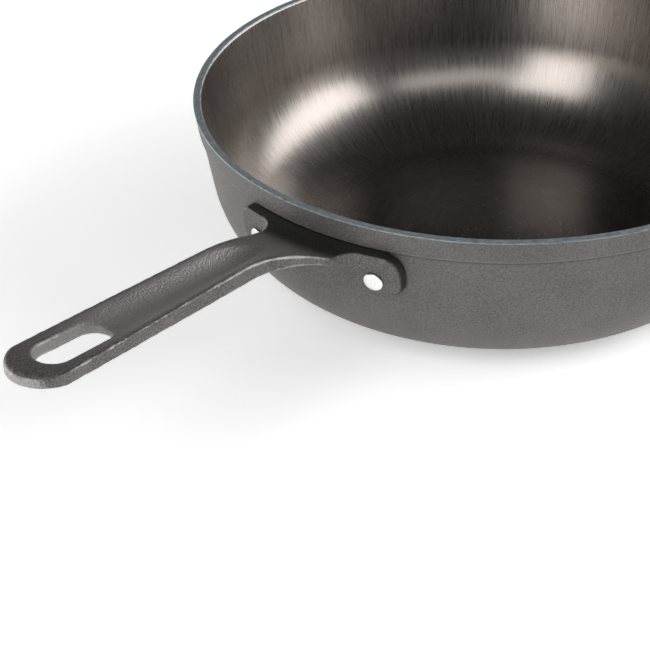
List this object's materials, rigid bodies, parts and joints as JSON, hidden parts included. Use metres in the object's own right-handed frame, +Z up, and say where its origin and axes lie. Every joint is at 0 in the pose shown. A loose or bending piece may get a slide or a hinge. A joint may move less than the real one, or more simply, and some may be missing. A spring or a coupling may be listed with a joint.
{
  "type": "deep skillet",
  "caption": "Deep round skillet: a cast pan with a leaning wall, and a separate cast handle with a hang slot, riveted on through a curved flange.",
  "frame": {"origin": "centre of the flat base, on the pan's axis", "axes": "+X along the handle, away from the pan; +Z up, out of the pan's mouth"},
  "size_m": [0.4831, 0.2998, 0.0987],
  "materials": {
    "pan_iron": "fine sand-cast grain outside, brushed inside, machined rim",
    "handle_iron": "fine sand-cast grain, satin on top, edges rubbed bright",
    "rivet_metal": "smooth and bright"
  },
  "bodies": {
    "root": {"pan": "pan_iron", "handle": "handle_iron", "rivet_left": "rivet_metal", "rivet_right": "rivet_metal"}
  },
  "joints": []
}
